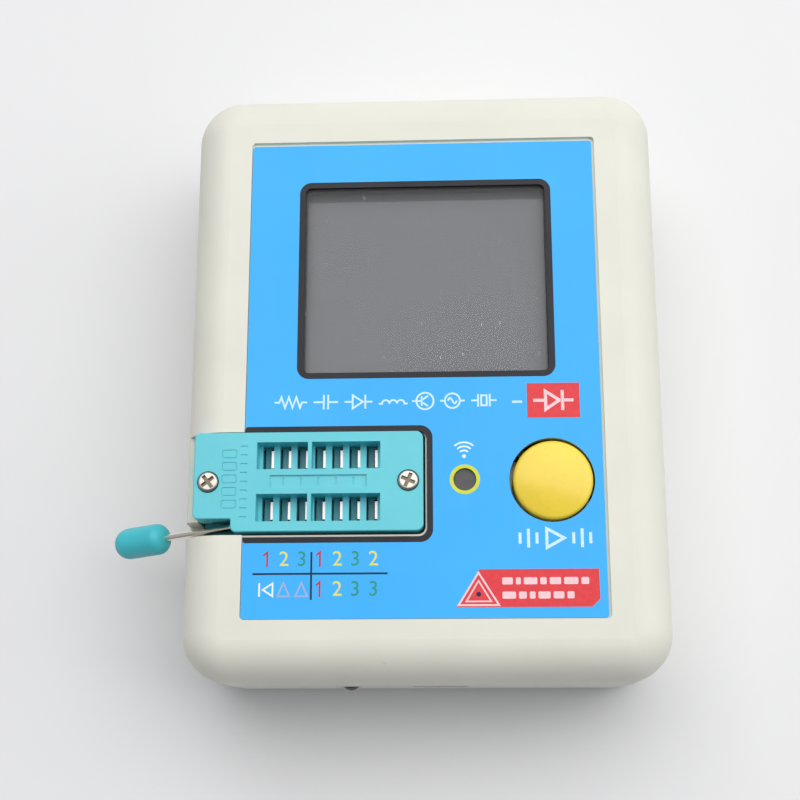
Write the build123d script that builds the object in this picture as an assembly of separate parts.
"""Pocket component tester, lying on its back, as an assembly of separate pieces.

Millimetres. +Z up out of the front panel, +Y towards the display end, +X to the right.
The origin is the middle of the back face that it rests on.
"""
import os
from math import cos, pi, radians, sin, tan
from build123d import *

# ---- Case -------------------------------------------------------------------------------
CASE_W, CASE_L, CASE_H = 70.5, 90.5, 28.0
SEAM_Z = 13.8
WALL = 2.0
FLOOR = 2.0
CEILING_Z = 25.8
CORNER_R = 7.0
TOP_EDGE_R = 5.8
BOTTOM_EDGE_R = 2.5
DRAFT = 1.2
SEAM_CHAMFER = 0.3
TONGUE_T, TONGUE_H, TONGUE_GAP = 0.95, 1.2, 0.05
BOSS_X, BOSS_Y, BOSS_R = 28.8, 38.8, 3.2

# ---- Front label in its recess ----------------------------------------------------------
RECESS_W, RECESS_L, RECESS_D, RECESS_Y = 52.4, 73.04, 0.55, -0.1
LABEL_X0, LABEL_X1, LABEL_Y0, LABEL_Y1 = -26.08, 25.79, -36.54, 35.82
LABEL_T, LABEL_R, RECESS_R = 0.45, 0.45, 0.6
RECESS_Z = CASE_H - RECESS_D
LABEL_TOP = RECESS_Z + LABEL_T
WINDOW_X, WINDOW_Y, WINDOW_W, WINDOW_L, WINDOW_R = 0.33, 14.12, 36.3, 29.35, 0.9
LENS_MARGIN, LENS_T = 0.75, 0.8

# ---- Main board -------------------------------------------------------------------------
BOARD_TOP, BOARD_T = 16.1, 1.6
BOARD_BOT = BOARD_TOP - BOARD_T
BOARD_W, BOARD_L, BOARD_NOTCH = 64.5, 84.0, 7.2
BOARD_BOSS_X, BOARD_BOSS_Y, BOARD_BOSS_R = 21.0, 38.4, 2.4
FIT = 0.02
PIN_HOLE_R = 0.5
PIN_R = 0.25
TAIL_Z = BOARD_BOT - 1.2
MCU_X, MCU_Y, MCU_HALF = 4.0, 17.0, 3.5

# ---- Display stack ----------------------------------------------------------------------
PANEL_TOP = 25.2
PANEL_W, PANEL_L, PANEL_T = 42.0, 33.6, 1.2
TRAY_W, TRAY_L, TRAY_T = 46.7, 34.6, 1.4
TRAY_SHIFT = 1.4
CARRIER_W, CARRIER_L, CARRIER_T = 55.0, 34.6, 1.6
CARRIER_TOP = PANEL_TOP - PANEL_T - TRAY_T
SPACER_PEG_R = 1.3
HEADER_PINS, HEADER_PIN_R, PITCH = 8, 0.36, 2.54

# ---- Test socket ------------------------------------------------------------------------
SOCKET_Y = -16.85
COVER_X0, COVER_X1, COVER_HALF = -33.4, -0.1, 7.3
COVER_TOP, COVER_BOT, COVER_EDGE_R = 28.4, 24.6, 0.18
COVER_R_LEFT, COVER_R_RIGHT, NOTCH_R = 0.8, 1.05, 0.25
BASE_INSET = 0.5
COLUMNS, COLUMN_X, ROW_HALF = 7, -15.27, 3.81
TROUGH_W, TROUGH_L, TROUGH_D = 17.94, 4.0, 2.6
SLOT_W, DIVIDER_T = 1.63, 0.55
POCKET_W, POCKET_L, POCKET_D = 14.0, 1.85, 0.3
NOTCH_X1, NOTCH_Y1 = -27.88, -22.25
RELIEF_X, RELIEF_Y, RELIEF_Z = (-31.0, -27.3), (-23.8, -21.6), 26.2
SWING_RELIEF_X, SWING_RELIEF_Z = (-28.8, -27.3), 27.2
LEDGE_Z = 20.8
SOCKET_SCREW_X = (-31.27, -2.27)
SOCKET_SCREW_R, SOCKET_HEAD_R = 0.8, 1.52
SHELL_CUT_Y0, SHELL_CUT_Y1, SHELL_CUT_X1, SHELL_CUT_Z = -24.55, -9.4, 0.18, 20.0
SHELL_CUT_R, WALL_CUT_Z, LEVER_SLOT_Y1 = 1.1, 24.45, -22.1

# ---- Lever and the slider that it cranks ------------------------------------------------
PIVOT_X, PIVOT_Y, PIVOT_Z = -28.05, -22.78, 24.0
LEVER_DROP, LEVER_SPLAY = 24.4, 3.5
WIRE_R, WIRE_BEND = 0.5, 0.8
KNOB_START, KNOB_END, KNOB_R, KNOB_TIP = 12.1, 21.1, 2.35, 1.6
LEVER_SWING = 105.0
CRANK_R = 0.5
CRANK_HALF = 2.4
CHANNEL_R = WIRE_R + 0.06
SLIDER_Z0, SLIDER_Z1, SLIDER_HALF = 21.9, 24.3, 6.2
SLIDER_X0, SLIDER_X1 = -26.2, -4.3
RIB_LEFT, RIB_RIGHT = -0.6, 0.25
SLIDER_TRAVEL = 2 * CRANK_R * sin(radians(LEVER_SWING / 2))
LEAF_LEFT, LEAF_RIGHT, TAIL_SHIFT = 0.42, 0.8, 0.5

# ---- Test button ------------------------------------------------------------------------
BUTTON_X, BUTTON_Y, BUTTON_HOLE_R = 18.4, -16.85, 6.15
CAP_X = BUTTON_X + 0.15
CAP_R, CAP_TOP, CAP_BOT, CAP_RISE, CAP_WALL = 5.75, 28.8, 22.9, 0.9, 1.0
SWITCH_W, SWITCH_BODY_H, SWITCH_PLATE_T = 12.0, 3.3, 0.3
STEM_W, STEM_TOP, HUB_W = 3.8, BOARD_TOP + 7.3, 5.8

# ---- Infrared receiver ------------------------------------------------------------------
IR_X, IR_Y, IR_R = 5.87, -16.7, 1.67

# ---- Charging side: lamp, socket, battery -----------------------------------------------
LED_X, LED_Z, LED_R, LED_PROUD = -11.5, 12.1, 1.5, 0.5
USB_X, USB_W, USB_H, USB_D = 2.0, 7.5, 2.5, 5.6
CELL_X, CELL_Y, CELL_W, CELL_L, CELL_T, CELL_PAD = 0.0, 8.0, 25.0, 40.0, 5.0, 0.8
CELL_Z0 = FLOOR + CELL_PAD
CELL_Y0 = CELL_Y - CELL_L / 2
LEAD_R = 0.6
LEAD_PITCH = 2.0
PLUG_X, PLUG_Y, PLUG_Z = 8.0, -27.0, BOARD_BOT - 2.9


# ---- Small helpers ----------------------------------------------------------------------
def block(x, y, z):
    """A box between two corners, given as (low, high) pairs."""
    middle = Pos((x[0] + x[1]) / 2, (y[0] + y[1]) / 2, (z[0] + z[1]) / 2)
    return middle * Box(x[1] - x[0], y[1] - y[0], z[1] - z[0])


def post(x, y, z0, z1, radius):
    """An upright cylinder."""
    return Pos(x, y, (z0 + z1) / 2) * Cylinder(radius, z1 - z0)


def plate(x, y, z0, z1, width, length, corner):
    """An upright prism on a rectangle with rounded corners."""
    return extrude(Pos(x, y, z0) * RectangleRounded(width, length, corner), amount=z1 - z0)


def joined(solids):
    """One solid from several that touch or overlap."""
    whole = solids[0]
    for solid in solids[1:]:
        whole += solid
    return whole


def corners(x, y):
    return [(sx * x, sy * y) for sx in (-1, 1) for sy in (-1, 1)]


def top_edges(solid):
    return solid.faces().sort_by(Axis.Z)[-1].edges()


def bottom_edges(solid):
    return solid.faces().sort_by(Axis.Z)[0].edges()


def crossed_screw(x, y, head_z, head_h, head_r, shank_r, shank_l, up=1, cross=(1.15, 0.26), turn=0):
    """A pan-head screw: head on the up side of head_z, shank on the other side.

    cross gives the recess's length and width as shares of the head's radius.
    """
    head = post(0, 0, 0, head_h, head_r)
    head = fillet(top_edges(head), head_h * 0.45)
    for angle in (turn, turn + 90):
        head -= Pos(0, 0, head_h) * Rot(0, 0, angle) * Box(head_r * cross[0], head_r * cross[1], head_h)
    whole = head + post(0, 0, -shank_l, 0.05, shank_r)
    turned = whole if up > 0 else Rot(180, 0, 0) * whole
    return Pos(x, y, head_z) * turned


# ---- Case shells ------------------------------------------------------------------------
def charge_openings():
    """Cutters for the charging socket and for the lamp, which lies under the seam."""
    front = (-CASE_L / 2 - 1, -CASE_L / 2 + WALL + 1)
    usb_z = (BOARD_BOT - USB_H - 0.3, BOARD_BOT + 0.3)
    usb = block((USB_X - USB_W / 2 - 0.35, USB_X + USB_W / 2 + 0.35), front, usb_z)
    lamp_r = LED_R + 0.12
    lamp_tube = Pos(LED_X, sum(front) / 2, LED_Z) * Rot(90, 0, 0) * Cylinder(lamp_r, front[1] - front[0])
    lamp_slot = block((LED_X - lamp_r, LED_X + lamp_r), front, (LED_Z, SEAM_Z))
    return usb, lamp_tube + lamp_slot


def shell_cavity(z0, z1):
    return plate(0, 0, z0, z1, CASE_W - 2 * WALL, CASE_L - 2 * WALL, CORNER_R - WALL)


def upper_shell():
    shell = plate(0, 0, SEAM_Z, CASE_H, CASE_W, CASE_L, CORNER_R)
    shell = fillet(top_edges(shell), TOP_EDGE_R)
    shell = chamfer(bottom_edges(shell), SEAM_CHAMFER)
    shell -= fillet(top_edges(shell_cavity(SEAM_Z, CEILING_Z)), TOP_EDGE_R - WALL)
    groove = 2 * (WALL - TONGUE_T - 2 * TONGUE_GAP)
    shell -= plate(0, 0, SEAM_Z, SEAM_Z + TONGUE_H + TONGUE_GAP,
                   CASE_W - groove, CASE_L - groove, CORNER_R - groove / 2)
    for x, y in corners(BOSS_X, BOSS_Y):
        shell += post(x, y, SEAM_Z - 0.2, CEILING_Z + 0.1, BOSS_R)
        shell -= post(x, y, SEAM_Z - 0.2, SEAM_Z + 8.2, 1.25 + FIT)
    for x, y in corners(BOARD_BOSS_X, BOARD_BOSS_Y):
        shell += post(x, y, BOARD_TOP, CEILING_Z + 0.1, BOARD_BOSS_R)
        shell -= post(x, y, BOARD_TOP, BOARD_TOP + 5.2, 0.95 + FIT)
    shell -= plate(0, RECESS_Y, RECESS_Z, CASE_H + 1, RECESS_W, RECESS_L, RECESS_R)
    shell -= plate(WINDOW_X, WINDOW_Y, CEILING_Z - 1, CASE_H, WINDOW_W + 2 * LENS_MARGIN + 0.1,
                   WINDOW_L + 2 * LENS_MARGIN + 0.1, WINDOW_R + LENS_MARGIN)
    for opening in socket_openings():
        shell -= opening
    shell -= post(BUTTON_X, BUTTON_Y, CEILING_Z - 1, CASE_H, BUTTON_HOLE_R + 0.15)
    shell -= post(IR_X, IR_Y, CEILING_Z - 1, CASE_H, IR_R + 0.57)
    return shell - charge_openings()[0]


def socket_openings():
    """Cutters for the socket: its well, the lower rim at the side wall, and the lever's slot."""
    y, middle_y = (SHELL_CUT_Y0, SHELL_CUT_Y1), (SHELL_CUT_Y0 + SHELL_CUT_Y1) / 2
    side = -CASE_W / 2 + WALL
    well = block((side, SHELL_CUT_X1 - 2 * SHELL_CUT_R), y, (SHELL_CUT_Z, CASE_H + 1))
    end = plate(SHELL_CUT_X1 - 4, middle_y, SHELL_CUT_Z, CASE_H + 1, 8, y[1] - y[0], SHELL_CUT_R)
    rim = block((-CASE_W, side + 1), y, (WALL_CUT_Z, CASE_H + 1))
    slot = block((-CASE_W, side + 1), (SHELL_CUT_Y0, LEVER_SLOT_Y1), (SHELL_CUT_Z, CASE_H + 1))
    return well, end, rim, slot


def lower_shell():
    outline = Pos(0, 0, SEAM_Z) * RectangleRounded(CASE_W, CASE_L, CORNER_R)
    shell = extrude(outline, amount=SEAM_Z, dir=(0, 0, -1), taper=DRAFT)
    shell = fillet(bottom_edges(shell), BOTTOM_EDGE_R)
    shell = chamfer(top_edges(shell), SEAM_CHAMFER)
    tongue = 2 * (WALL - TONGUE_T)
    shell += plate(0, 0, SEAM_Z - 1, SEAM_Z + TONGUE_H, CASE_W - tongue, CASE_L - tongue,
                   CORNER_R - tongue / 2)
    shell -= shell_cavity(FLOOR, SEAM_Z + TONGUE_H + 1)
    for x, y in corners(BOSS_X, BOSS_Y):
        shell += post(x, y, FLOOR - 0.1, SEAM_Z - 0.3, BOSS_R)
        shell += post(x, y, FLOOR - 0.1, 5.0, BOSS_R + 1.0)
        shell -= post(x, y, 0, 3.4, 2.95)
        shell -= post(x, y, 3.4, SEAM_Z, 1.65)
    for opening in charge_openings():
        shell -= opening
    return shell


def case_screws():
    return [crossed_screw(x, y, 3.4, 2.2, 2.6, 1.25, 18.0, up=-1) for x, y in corners(BOSS_X, BOSS_Y)]


def board_screws():
    return [crossed_screw(x, y, BOARD_BOT, 1.2, 1.9, 0.95, 6.4, up=-1)
            for x, y in corners(BOARD_BOSS_X, BOARD_BOSS_Y)]


# ---- Front panel ------------------------------------------------------------------------
def front_label():
    width, length = LABEL_X1 - LABEL_X0, LABEL_Y1 - LABEL_Y0
    middle = ((LABEL_X0 + LABEL_X1) / 2, (LABEL_Y0 + LABEL_Y1) / 2)
    label = plate(*middle, RECESS_Z, LABEL_TOP, width, length, LABEL_R)
    label -= plate(WINDOW_X, WINDOW_Y, RECESS_Z, LABEL_TOP, WINDOW_W, WINDOW_L, WINDOW_R)
    label -= post(BUTTON_X, BUTTON_Y, RECESS_Z, LABEL_TOP, BUTTON_HOLE_R)
    label -= post(IR_X, IR_Y, RECESS_Z, LABEL_TOP, IR_R)
    cut = (COVER_X1 + 0.52 - 2 * LABEL_X0) / 2
    return label - plate(COVER_X1 + 0.52 - cut, SOCKET_Y - 0.33, RECESS_Z, LABEL_TOP, 2 * cut, 15.43, 1.2)


def display_lens():
    return plate(WINDOW_X, WINDOW_Y, RECESS_Z - LENS_T, RECESS_Z, WINDOW_W + 2 * LENS_MARGIN,
                 WINDOW_L + 2 * LENS_MARGIN, WINDOW_R + LENS_MARGIN)


def display_gasket():
    z = (PANEL_TOP, RECESS_Z - LENS_T)
    ring = plate(WINDOW_X, WINDOW_Y, *z, WINDOW_W + 2 * LENS_MARGIN, WINDOW_L + 2 * LENS_MARGIN,
                 WINDOW_R + LENS_MARGIN)
    return ring - plate(WINDOW_X, WINDOW_Y, *z, WINDOW_W - 0.2, WINDOW_L - 0.2, WINDOW_R)


def ir_window():
    rim = post(IR_X, IR_Y, RECESS_Z - 1.0, RECESS_Z, IR_R + 0.55)
    return fillet(bottom_edges(rim), 0.2)


# ---- Display ----------------------------------------------------------------------------
def display_panel():
    return plate(WINDOW_X, WINDOW_Y, PANEL_TOP - PANEL_T, PANEL_TOP, PANEL_W, PANEL_L, 0.3)


def display_tray():
    seat = PANEL_TOP - PANEL_T
    tray = plate(WINDOW_X + TRAY_SHIFT, WINDOW_Y, CARRIER_TOP, seat + 0.5, TRAY_W, TRAY_L, 0.6)
    return tray - plate(WINDOW_X, WINDOW_Y, seat, seat + 1, PANEL_W + 0.1, PANEL_L + 0.1, 0.3)


def header_row():
    """Places of the display's pins, along its left edge."""
    x = WINDOW_X - CARRIER_W / 2 + 1.8
    return [(x, WINDOW_Y + (i - (HEADER_PINS - 1) / 2) * PITCH) for i in range(HEADER_PINS)]


def spacer_places():
    return [(WINDOW_X + sx * (CARRIER_W / 2 - 3.4), WINDOW_Y + sy * (CARRIER_L / 2 - 3.0))
            for sx in (-1, 1) for sy in (-1, 1)]


def display_board():
    board = plate(WINDOW_X, WINDOW_Y, CARRIER_TOP - CARRIER_T, CARRIER_TOP, CARRIER_W, CARRIER_L, 1.0)
    for x, y in header_row():
        board -= post(x, y, 0, CASE_H, PIN_HOLE_R)
    return board


def display_header():
    header_z = (BOARD_TOP, CARRIER_TOP - CARRIER_T)
    x, y = header_row()[0]
    span = HEADER_PINS * PITCH
    strip = block((x - 1.27, x + 1.27), (WINDOW_Y - span / 2, WINDOW_Y + span / 2), header_z)
    for x, y in header_row():
        strip -= post(x, y, 0, CASE_H, HEADER_PIN_R)
    return strip


def display_pins():
    return [post(x, y, TAIL_Z, CARRIER_TOP + 0.8, HEADER_PIN_R) for x, y in header_row()]


def display_spacers():
    """Nylon spacers with a peg through the main board."""
    spacers = []
    for x, y in spacer_places():
        column = post(x, y, BOARD_TOP, CARRIER_TOP - CARRIER_T, 2.2)
        spacers.append(column + post(x, y, BOARD_BOT, BOARD_TOP + 0.1, SPACER_PEG_R))
    return spacers


# ---- Test socket ------------------------------------------------------------------------
def column_x(i):
    return COLUMN_X + (i - (COLUMNS - 1) / 2) * PITCH


def rows():
    return (SOCKET_Y - ROW_HALF, SOCKET_Y + ROW_HALF)


def cover_trough(y):
    """One row of the cover: a deep trough in two parts, with a slot for each column."""
    half_w, half_l = TROUGH_W / 2, TROUGH_L / 2
    divider = (column_x(2) + column_x(3)) / 2
    z = (COVER_TOP - TROUGH_D, COVER_TOP + 1)
    left = block((COLUMN_X - half_w, divider - DIVIDER_T / 2), (y - half_l, y + half_l), z)
    right = block((divider + DIVIDER_T / 2, COLUMN_X + half_w), (y - half_l, y + half_l), z)
    slots = [block((column_x(i) - SLOT_W / 2, column_x(i) + SLOT_W / 2), (y - half_l, y + half_l),
                   (COVER_BOT - 1, COVER_TOP)) for i in range(COLUMNS)]
    return joined([left, right] + slots)


def cover_outline():
    """Flat outline of the cover, with the lever's notch at its lower left corner."""
    middle_x, low = (COVER_X0 + COVER_X1) / 2, SOCKET_Y - COVER_HALF
    outline = Pos(middle_x, SOCKET_Y) * Rectangle(COVER_X1 - COVER_X0, 2 * COVER_HALF)
    outline -= Pos(NOTCH_X1 - 10, NOTCH_Y1 - 10) * Rectangle(20, 20)
    outline = fillet(outline.vertices().filter_by(lambda v: v.X > middle_x), COVER_R_RIGHT)
    left = [(COVER_X0, SOCKET_Y + COVER_HALF), (COVER_X0, NOTCH_Y1), (NOTCH_X1, low)]
    for x, y in left:
        outline = fillet(outline.vertices().sort_by_distance((x, y, 0))[0], COVER_R_LEFT)
    return fillet(outline.vertices().sort_by_distance((NOTCH_X1, NOTCH_Y1, 0))[0], NOTCH_R)


def engraved_marks():
    """Index ticks in the middle pocket, and plain bars and cells beside the lever."""
    pocket_floor = COVER_TOP - POCKET_D
    marks = []
    for i in range(1, COLUMNS - 1):
        x = column_x(i)
        marks.append(block((x - 0.12, x + 0.12), (SOCKET_Y - 0.55, SOCKET_Y + 0.55),
                           (pocket_floor - 0.12, COVER_TOP)))
    for i in range(9):
        y = SOCKET_Y + 5.2 - i * 1.3
        marks.append(block((-26.6, -25.6), (y - 0.13, y + 0.13), (COVER_TOP - 0.14, COVER_TOP + 1)))
    for i in range(5):
        y = SOCKET_Y + 4.1 - i * 1.85
        cell = plate(-28.2, y, COVER_TOP - 0.12, COVER_TOP + 1, 2.2, 1.3, 0.3)
        marks.append(cell - plate(-28.2, y, COVER_TOP - 0.12, COVER_TOP + 1, 1.9, 1.0, 0.2))
    return marks


def socket_cover():
    cover = extrude(Pos(0, 0, COVER_BOT) * cover_outline(), amount=COVER_TOP - COVER_BOT)
    cover = fillet(top_edges(cover), COVER_EDGE_R)
    cover -= block(RELIEF_X, RELIEF_Y, (COVER_BOT - 1, RELIEF_Z))
    cover -= block(SWING_RELIEF_X, RELIEF_Y, (COVER_BOT - 1, SWING_RELIEF_Z))
    for y in rows():
        cover -= cover_trough(y)
    pocket_x = (COLUMN_X - POCKET_W / 2, COLUMN_X + POCKET_W / 2)
    pocket_y = (SOCKET_Y - POCKET_L / 2, SOCKET_Y + POCKET_L / 2)
    cover -= block(pocket_x, pocket_y, (COVER_TOP - POCKET_D, COVER_TOP + 1))
    for mark in engraved_marks():
        cover -= mark
    for x in SOCKET_SCREW_X:
        cover -= post(x, SOCKET_Y, COVER_BOT, COVER_TOP, SOCKET_SCREW_R + 0.15)
        cover -= post(x, SOCKET_Y, COVER_TOP - 0.5, COVER_TOP, SOCKET_HEAD_R + 0.08)
    return cover


def socket_base():
    x0, x1 = COVER_X0 + BASE_INSET, COVER_X1 - BASE_INSET
    half = COVER_HALF - BASE_INSET
    bottom = BOARD_TOP + 0.4
    base = plate((x0 + x1) / 2, SOCKET_Y, bottom, COVER_BOT, x1 - x0, 2 * half, 0.8)
    feet = [post(x, y, BOARD_TOP, bottom + 0.1, 1.0) for x in (x0 + 1.5, x1 - 1.5)
            for y in (SOCKET_Y - half + 1.5, SOCKET_Y + half - 1.5)]
    base = joined([base] + feet)
    well_z = (SLIDER_Z0 - 0.08, COVER_BOT + 1)
    well_half, crank_half = SLIDER_HALF + 0.12, CRANK_HALF + 0.3
    base -= block((SLIDER_X0 - SLIDER_TRAVEL - 0.3, SLIDER_X1 + 0.4),
                  (SOCKET_Y - well_half, SOCKET_Y + well_half), well_z)
    base -= block((PIVOT_X - 1.55, SLIDER_X0), (SOCKET_Y - crank_half, SOCKET_Y + crank_half), well_z)
    shaft_y = (SOCKET_Y - COVER_HALF, SOCKET_Y + 5.6)
    base -= along_y(PIVOT_X, PIVOT_Z, *shaft_y, CHANNEL_R)
    base -= block((PIVOT_X - CHANNEL_R, PIVOT_X + CHANNEL_R), shaft_y, (PIVOT_Z, COVER_BOT + 1))
    base -= block((x0 - 1, NOTCH_X1 + 0.2), (SOCKET_Y - half - 1, NOTCH_Y1 + 0.5), (LEDGE_Z, COVER_BOT + 1))
    for y in rows():
        for i in range(COLUMNS):
            x = column_x(i)
            base -= block((x + 0.15, x + LEAF_RIGHT + 0.2), (y - 1.5, y + 1.5), (bottom - 0.1, SLIDER_Z0))
    for x in SOCKET_SCREW_X:
        base -= post(x, SOCKET_Y, COVER_BOT - 4.6, COVER_BOT, SOCKET_SCREW_R + FIT)
    return base


def socket_contacts():
    """A sprung leaf on a round tail through the board, one for each hole."""
    contacts = []
    for y in rows():
        for i in range(COLUMNS):
            x = column_x(i)
            width = (y - 1.3, y + 1.3)
            leaf = block((x + LEAF_LEFT, x + LEAF_RIGHT), width, (BOARD_TOP + 1.0, COVER_BOT + 0.9))
            foot = block((x + 0.25, x + LEAF_RIGHT), width, (BOARD_TOP + 0.6, BOARD_TOP + 1.1))
            tail = post(x + TAIL_SHIFT, y, TAIL_Z, BOARD_TOP + 0.8, PIN_R)
            contacts.append(leaf + foot + tail)
    return contacts


def socket_screws():
    return [crossed_screw(x, SOCKET_Y, COVER_TOP - 0.5, 0.9, SOCKET_HEAD_R, SOCKET_SCREW_R, 7.5,
                          cross=(1.42, 0.36), turn=turn)
            for x, turn in zip(SOCKET_SCREW_X, (38, 66))]


def crank_offset():
    """Crank pin from the pivot at rest: it hangs below and to the right."""
    half_swing = radians(LEVER_SWING / 2)
    return CRANK_R * sin(half_swing), -CRANK_R * cos(half_swing)


def along_y(x, z, y0, y1, radius):
    return Pos(x, (y0 + y1) / 2, z) * Rot(90, 0, 0) * Cylinder(radius, y1 - y0)


def arm_point(distance):
    drop, splay = radians(LEVER_DROP), radians(LEVER_SPLAY)
    return Vector(PIVOT_X - distance * cos(drop) * cos(splay), PIVOT_Y - distance * sin(splay),
                  PIVOT_Z - distance * sin(drop) * cos(splay))


def lever_wire():
    """Bent wire: arm, bend, and a shaft across the socket with a cranked middle."""
    shaft_y = PIVOT_Y + 2.4
    path = FilletPolyline(arm_point(KNOB_END - KNOB_TIP), (PIVOT_X, PIVOT_Y, PIVOT_Z),
                          (PIVOT_X, shaft_y, PIVOT_Z), radius=WIRE_BEND)
    wire = sweep(Plane(origin=path @ 0, z_dir=path % 0) * Circle(WIRE_R), path=path)
    dx, dz = crank_offset()
    low, high = SOCKET_Y - CRANK_HALF, SOCKET_Y + CRANK_HALF
    wire += along_y(PIVOT_X, PIVOT_Z, shaft_y - 0.1, low, WIRE_R)
    wire += along_y(PIVOT_X + dx, PIVOT_Z + dz, low - 0.15, high + 0.15, WIRE_R)
    return wire + along_y(PIVOT_X, PIVOT_Z, high, SOCKET_Y + 5.4, WIRE_R)


def lever_knob():
    """Moulded knob: a capsule, blunter where the wire enters its blind hole."""
    length = KNOB_END - KNOB_START
    near_r = 0.7 * KNOB_R
    outline = [
        Line((0, 0), (KNOB_R - near_r, 0)),
        CenterArc((KNOB_R - near_r, near_r), near_r, 270, 90),
        Line((KNOB_R, near_r), (KNOB_R, length - KNOB_R)),
        CenterArc((0, length - KNOB_R), KNOB_R, 0, 90),
        Line((0, length), (0, 0)),
    ]
    knob = revolve(Plane.XZ * make_face(outline), axis=Axis.Z) - post(0, 0, -1, length - KNOB_TIP, WIRE_R)
    start = arm_point(KNOB_START)
    outward = (arm_point(KNOB_END) - start).normalized()
    return Plane(origin=start, z_dir=outward) * knob


def socket_slider():
    y = (SOCKET_Y - SLIDER_HALF, SOCKET_Y + SLIDER_HALF)
    slider = block((SLIDER_X0, SLIDER_X1), y, (SLIDER_Z0, SLIDER_Z1))
    for row in rows():
        for i in range(-1, COLUMNS):
            x = column_x(i)
            slider -= block((x + RIB_RIGHT, x + PITCH + RIB_LEFT), (row - 1.75, row + 1.75), (0, CASE_H))
    pin_x = PIVOT_X + crank_offset()[0]
    half_slot = WIRE_R + 0.06
    tongue_y = (SOCKET_Y - CRANK_HALF + 0.4, SOCKET_Y + CRANK_HALF - 0.4)
    tongue = block((pin_x - half_slot - 0.4, SLIDER_X0 + 0.1), tongue_y, (SLIDER_Z0, SLIDER_Z1))
    lowest_pin = PIVOT_Z - CRANK_R - WIRE_R
    tongue -= block((pin_x - half_slot, pin_x + half_slot), tongue_y, (lowest_pin - 0.2, CASE_H))
    return slider + tongue


# ---- Test button ------------------------------------------------------------------------
def switch_base():
    half = SWITCH_W / 2
    z1 = BOARD_TOP + SWITCH_BODY_H
    base = plate(BUTTON_X, BUTTON_Y, BOARD_TOP, z1, SWITCH_W, SWITCH_W, 0.8)
    base -= post(BUTTON_X, BUTTON_Y, BOARD_TOP + 1.0, z1, 3.7)
    for x, y in corners(half - 1.3, half - 1.3):
        base += post(BUTTON_X + x, BUTTON_Y + y, z1 - 0.1, z1 + SWITCH_PLATE_T + 0.25, 0.5)
    return base


def switch_plate():
    half = SWITCH_W / 2
    z = (BOARD_TOP + SWITCH_BODY_H, BOARD_TOP + SWITCH_BODY_H + SWITCH_PLATE_T)
    cover = plate(BUTTON_X, BUTTON_Y, *z, SWITCH_W, SWITCH_W, 0.8)
    cover -= post(BUTTON_X, BUTTON_Y, *z, 3.35)
    for x, y in corners(half - 1.3, half - 1.3):
        cover -= post(BUTTON_X + x, BUTTON_Y + y, *z, 0.5)
    return cover


def switch_pins():
    pins = []
    for sx in (-1, 1):
        for y in (-2.5, 2.5):
            x = BUTTON_X + sx * (SWITCH_W / 2 + 0.25)
            pin_y = BUTTON_Y + y
            shank = block((x - PIN_R, x + PIN_R), (pin_y - 0.5, pin_y + 0.5),
                          (BOARD_TOP + 0.05, BOARD_TOP + 1.0))
            pins.append(shank + post(x, pin_y, TAIL_Z, BOARD_TOP + 0.1, PIN_R))
    return pins


def switch_dome():
    """Snap dome of thin spring steel under the plunger."""
    z0, rise, radius, skin = BOARD_TOP + 1.0, 0.5, 3.4, 0.12
    ball_r = (radius ** 2 + rise ** 2) / (2 * rise)
    outer = Pos(BUTTON_X, BUTTON_Y, z0 + rise - ball_r) * Sphere(ball_r)
    inner = Pos(BUTTON_X, BUTTON_Y, z0 + rise - ball_r) * Sphere(ball_r - skin)
    return (outer - inner) & post(BUTTON_X, BUTTON_Y, z0, z0 + 1, 4.0)


def switch_plunger():
    z0 = BOARD_TOP + 1.55
    flange = post(BUTTON_X, BUTTON_Y, z0, BOARD_TOP + SWITCH_BODY_H - 0.05, 3.6)
    neck = post(BUTTON_X, BUTTON_Y, z0, BOARD_TOP + SWITCH_BODY_H + 0.9, 3.25)
    half = STEM_W / 2
    stem = block((BUTTON_X - half, BUTTON_X + half), (BUTTON_Y - half, BUTTON_Y + half), (z0, STEM_TOP))
    return flange + neck + stem


def button_cap():
    """Domed cap with a thin skirt and a square hub that grips the plunger."""
    rim_z = CAP_TOP - CAP_RISE
    outline = [
        Line((0, CAP_BOT), (CAP_R, CAP_BOT)),
        Line((CAP_R, CAP_BOT), (CAP_R, rim_z)),
        ThreePointArc((CAP_R, rim_z), (CAP_R / 2, CAP_TOP - CAP_RISE * 0.25), (0, CAP_TOP)),
        Line((0, CAP_TOP), (0, CAP_BOT)),
    ]
    cap = revolve(Plane.XZ * make_face(outline), axis=Axis.Z)
    level = cap.edges().filter_by(lambda edge: edge.bounding_box().size.Z < 0.01)
    cap = fillet(level.sort_by(Axis.Z)[-1], 0.55)
    roof = rim_z - CAP_WALL
    cap -= post(0, 0, CAP_BOT, roof, CAP_R - CAP_WALL)
    cap = Pos(CAP_X, BUTTON_Y, 0) * cap
    hub, hole = HUB_W / 2, STEM_W / 2
    cap += block((BUTTON_X - hub, BUTTON_X + hub), (BUTTON_Y - hub, BUTTON_Y + hub),
                 (CAP_BOT - 0.6, roof + 0.1))
    return cap - block((BUTTON_X - hole, BUTTON_X + hole), (BUTTON_Y - hole, BUTTON_Y + hole), (0, STEM_TOP))


# ---- Electronics ------------------------------------------------------------------------
def ir_lead_places():
    return [(IR_X + i * PITCH, IR_Y - 2.2) for i in (-1, 0, 1)]


def ir_receiver():
    body = block((IR_X - 3.4, IR_X + 3.4), (IR_Y - 3.0, IR_Y + 3.2), (BOARD_TOP + 3.0, BOARD_TOP + 6.2))
    return body + (Pos(IR_X, IR_Y, BOARD_TOP + 6.0) * Sphere(2.4) & post(IR_X, IR_Y, BOARD_TOP + 5.5, 30, 3))


def ir_leads():
    return [post(x, y, TAIL_Z, BOARD_TOP + 3.0, PIN_R) for x, y in ir_lead_places()]


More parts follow.
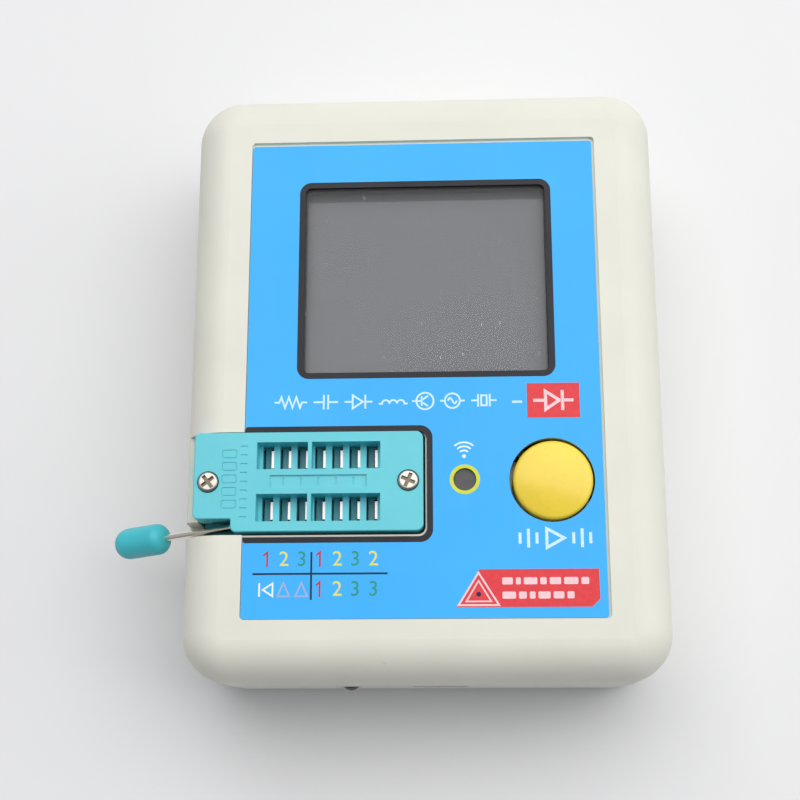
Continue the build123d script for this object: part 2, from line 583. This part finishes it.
def led_lead_places():
    y = -CASE_L / 2 + 5.2
    return [(LED_X - PITCH / 2, y), (LED_X + PITCH / 2, y)]


def charge_led():
    """Round lamp lying along Y, with its dome through the front wall."""
    tip_y = -CASE_L / 2 - LED_PROUD
    body = along_y(LED_X, LED_Z, tip_y + LED_R, tip_y + 4.6, LED_R)
    body += Pos(LED_X, tip_y + LED_R, LED_Z) * Sphere(LED_R)
    return body + along_y(LED_X, LED_Z, tip_y + 3.7, tip_y + 4.6, LED_R + 0.3)


def charge_led_leads():
    leads = []
    for x, y in led_lead_places():
        start = -CASE_L / 2 - LED_PROUD + 4.6
        path = FilletPolyline((x, start, LED_Z), (x, y, LED_Z), (x, y, BOARD_TOP + 0.8), radius=0.5)
        leads.append(sweep(Plane(origin=path @ 0, z_dir=path % 0) * Circle(PIN_R), path=path))
    return leads


def usb_socket():
    y0 = -CASE_L / 2 + 0.5
    z = (BOARD_BOT - USB_H, BOARD_BOT)
    box = block((USB_X - USB_W / 2, USB_X + USB_W / 2), (y0, y0 + USB_D), z)
    return box - block((USB_X - USB_W / 2 + 0.3, USB_X + USB_W / 2 - 0.3), (y0, y0 + USB_D - 0.5),
                       (z[0] + 0.3, z[1] - 0.3))


def usb_tongue():
    y1 = -CASE_L / 2 + USB_D
    return block((USB_X - 1.9, USB_X + 1.9), (y1 - 4.0, y1), (BOARD_BOT - 1.15, BOARD_BOT - 0.6))


def through_holes():
    """Every pin that passes the main board."""
    places = header_row() + ir_lead_places() + led_lead_places()
    places += [(column_x(i) + TAIL_SHIFT, y) for y in rows() for i in range(COLUMNS)]
    places += [(BUTTON_X + sx * (SWITCH_W / 2 + 0.25), BUTTON_Y + y) for sx in (-1, 1) for y in (-2.5, 2.5)]
    return places


def main_board():
    board = plate(0, 0, BOARD_BOT, BOARD_TOP, BOARD_W, BOARD_L, 1.0)
    for x, y in corners(BOARD_W / 2, BOARD_L / 2):
        notch_x = sorted((x, x - BOARD_NOTCH * (1 if x > 0 else -1)))
        notch_y = sorted((y, y - BOARD_NOTCH * (1 if y > 0 else -1)))
        board -= block(notch_x, notch_y, (BOARD_BOT - 1, BOARD_TOP + 1))
    for x, y in through_holes():
        board -= post(x, y, BOARD_BOT, BOARD_TOP, PIN_HOLE_R)
    for x, y in spacer_places():
        board -= post(x, y, BOARD_BOT, BOARD_TOP, SPACER_PEG_R)
    for x, y in corners(BOARD_BOSS_X, BOARD_BOSS_Y):
        board -= post(x, y, BOARD_BOT, BOARD_TOP, 1.15)
    return board


def microcontroller():
    return plate(MCU_X, MCU_Y, BOARD_TOP + 0.15, BOARD_TOP + 1.2, 2 * MCU_HALF, 2 * MCU_HALF, 0.3)


def microcontroller_leads():
    """Eight gull-wing leads on each side."""
    leads = []
    for i in range(8):
        offset = (i - 3.5) * 0.8
        lead = block((offset - 0.18, offset + 0.18), (MCU_HALF, MCU_HALF + 0.45), (0.55, 0.7))
        lead += block((offset - 0.18, offset + 0.18), (MCU_HALF + 0.3, MCU_HALF + 0.45), (0, 0.7))
        lead += block((offset - 0.18, offset + 0.18), (MCU_HALF + 0.3, MCU_HALF + 1.0), (0, 0.15))
        leads += [Pos(MCU_X, MCU_Y, BOARD_TOP) * Rot(0, 0, angle) * lead for angle in (0, 90, 180, 270)]
    return leads


def crystal():
    return plate(-9.0, 20.0, BOARD_TOP, BOARD_TOP + 3.4, 10.4, 4.2, 2.05)


def charger_chip():
    return plate(-20.0, -33.0, BOARD_BOT - 1.6, BOARD_BOT, 3.9, 4.9, 0.3)


def boost_inductor():
    return plate(20.0, -30.0, BOARD_BOT - 3.0, BOARD_BOT, 6.0, 6.0, 1.4)


def chip_places():
    """Rows of small parts on the board's upper face, under the display."""
    return [(12.5 + 3.2 * i, 4.0 + 3.6 * j) for i in range(4) for j in range(3)]


def chip_resistors():
    return [block((x - 1.0, x + 1.0), (y - 0.62, y + 0.62), (BOARD_TOP, BOARD_TOP + 0.55))
            for x, y in chip_places()]


def chip_capacitors():
    places = [(-16.0 + 3.2 * i, 6.0) for i in range(4)] + [(MCU_X - 8.5, 10.0 + 3.2 * i) for i in range(2)]
    return [block((x - 0.62, x + 0.62), (y - 1.0, y + 1.0), (BOARD_TOP, BOARD_TOP + 0.9)) for x, y in places]


# ---- Battery ----------------------------------------------------------------------------
def battery_pad():
    return plate(CELL_X, CELL_Y, FLOOR, CELL_Z0, CELL_W - 3, CELL_L - 4, 1.0)


def battery_cell():
    cell = plate(CELL_X, CELL_Y, CELL_Z0, CELL_Z0 + CELL_T, CELL_W, CELL_L, 1.6)
    return fillet(top_edges(cell) + bottom_edges(cell), 1.2)


def battery_guard():
    """Protection strip across the cell's terrace, where the two leads start."""
    z = CELL_Z0 + CELL_T / 2
    return block((CELL_X - 10, CELL_X + 10), (CELL_Y0 - 3.0, CELL_Y0 - 0.01), (z - 1.1, z + 1.1))


def lead_points(side):
    """Route of one lead, from the guard strip to the back of the plug."""
    shift = side * LEAD_PITCH / 2
    z = CELL_Z0 + CELL_T / 2
    return [(CELL_X + shift, CELL_Y0 - 3.0, z), (CELL_X + shift, CELL_Y0 - 6.2, z),
            (CELL_X + 3.0 + shift, CELL_Y0 - 8.8, (z + PLUG_Z) / 2 + 0.6),
            (PLUG_X + shift, CELL_Y0 - 11.4, PLUG_Z), (PLUG_X + shift, PLUG_Y, PLUG_Z)]


def lead_radii(points):
    """Each bend as large as its two runs allow."""
    radii = []
    for before, here, after in zip(points, points[1:], points[2:]):
        first, second = Vector(*here) - Vector(*before), Vector(*after) - Vector(*here)
        turn = radians(first.get_angle(second))
        radii.append(0.45 * min(first.length, second.length) / tan(turn / 2))
    return radii


def battery_lead(side):
    points = lead_points(side)
    radii = lead_radii(points)
    path = FilletPolyline(*points, radius=radii)
    lead = sweep(Plane(origin=path @ 0, z_dir=path % 0) * Circle(LEAD_R), path=path)
    expected = pi * LEAD_R ** 2 * path.length
    print("lead radii", [round(r, 2) for r in radii])
    print("lead volume", round(lead.volume, 3), "of", round(expected, 3))
    return lead


def battery_plug():
    return block((PLUG_X - 2.9, PLUG_X + 2.9), (PLUG_Y - 6.5, PLUG_Y), (PLUG_Z - 1.4, PLUG_Z + 1.4))


def battery_socket():
    shroud = block((PLUG_X - 4.0, PLUG_X + 4.0), (PLUG_Y - 7.8, PLUG_Y - 1.5), (PLUG_Z - 2.2, BOARD_BOT))
    nest_x, nest_z = (PLUG_X - 2.95, PLUG_X + 2.95), (PLUG_Z - 1.45, PLUG_Z + 1.45)
    return shroud - block(nest_x, (PLUG_Y - 6.55, PLUG_Y), nest_z)


# ---- Export -----------------------------------------------------------------------------
PARTS = {
    "upper_shell": upper_shell,
    "lower_shell": lower_shell,
    "case_screws": case_screws,
    "board_screws": board_screws,
    "front_label": front_label,
    "display_lens": display_lens,
    "display_gasket": display_gasket,
    "ir_window": ir_window,
    "display_panel": display_panel,
    "display_tray": display_tray,
    "display_board": display_board,
    "display_header": display_header,
    "display_pins": display_pins,
    "display_spacers": display_spacers,
    "socket_cover": socket_cover,
    "socket_base": socket_base,
    "socket_contacts": socket_contacts,
    "socket_screws": socket_screws,
    "lever_wire": lever_wire,
    "lever_knob": lever_knob,
    "socket_slider": socket_slider,
    "switch_base": switch_base,
    "switch_plate": switch_plate,
    "switch_pins": switch_pins,
    "switch_dome": switch_dome,
    "switch_plunger": switch_plunger,
    "button_cap": button_cap,
    "ir_receiver": ir_receiver,
    "ir_leads": ir_leads,
    "charge_led": charge_led,
    "charge_led_leads": charge_led_leads,
    "usb_socket": usb_socket,
    "usb_tongue": usb_tongue,
    "main_board": main_board,
    "microcontroller": microcontroller,
    "microcontroller_leads": microcontroller_leads,
    "crystal": crystal,
    "charger_chip": charger_chip,
    "boost_inductor": boost_inductor,
    "chip_resistors": chip_resistors,
    "chip_capacitors": chip_capacitors,
    "battery_pad": battery_pad,
    "battery_cell": battery_cell,
    "battery_guard": battery_guard,
    "battery_lead_red": lambda: battery_lead(-1),
    "battery_lead_black": lambda: battery_lead(1),
    "battery_plug": battery_plug,
    "battery_socket": battery_socket,
}

os.makedirs("parts", exist_ok=True)
for name, make in PARTS.items():
    made = make()
    shape = Compound(children=made) if isinstance(made, list) else made
    export_step(shape, f"parts/{name}.step")
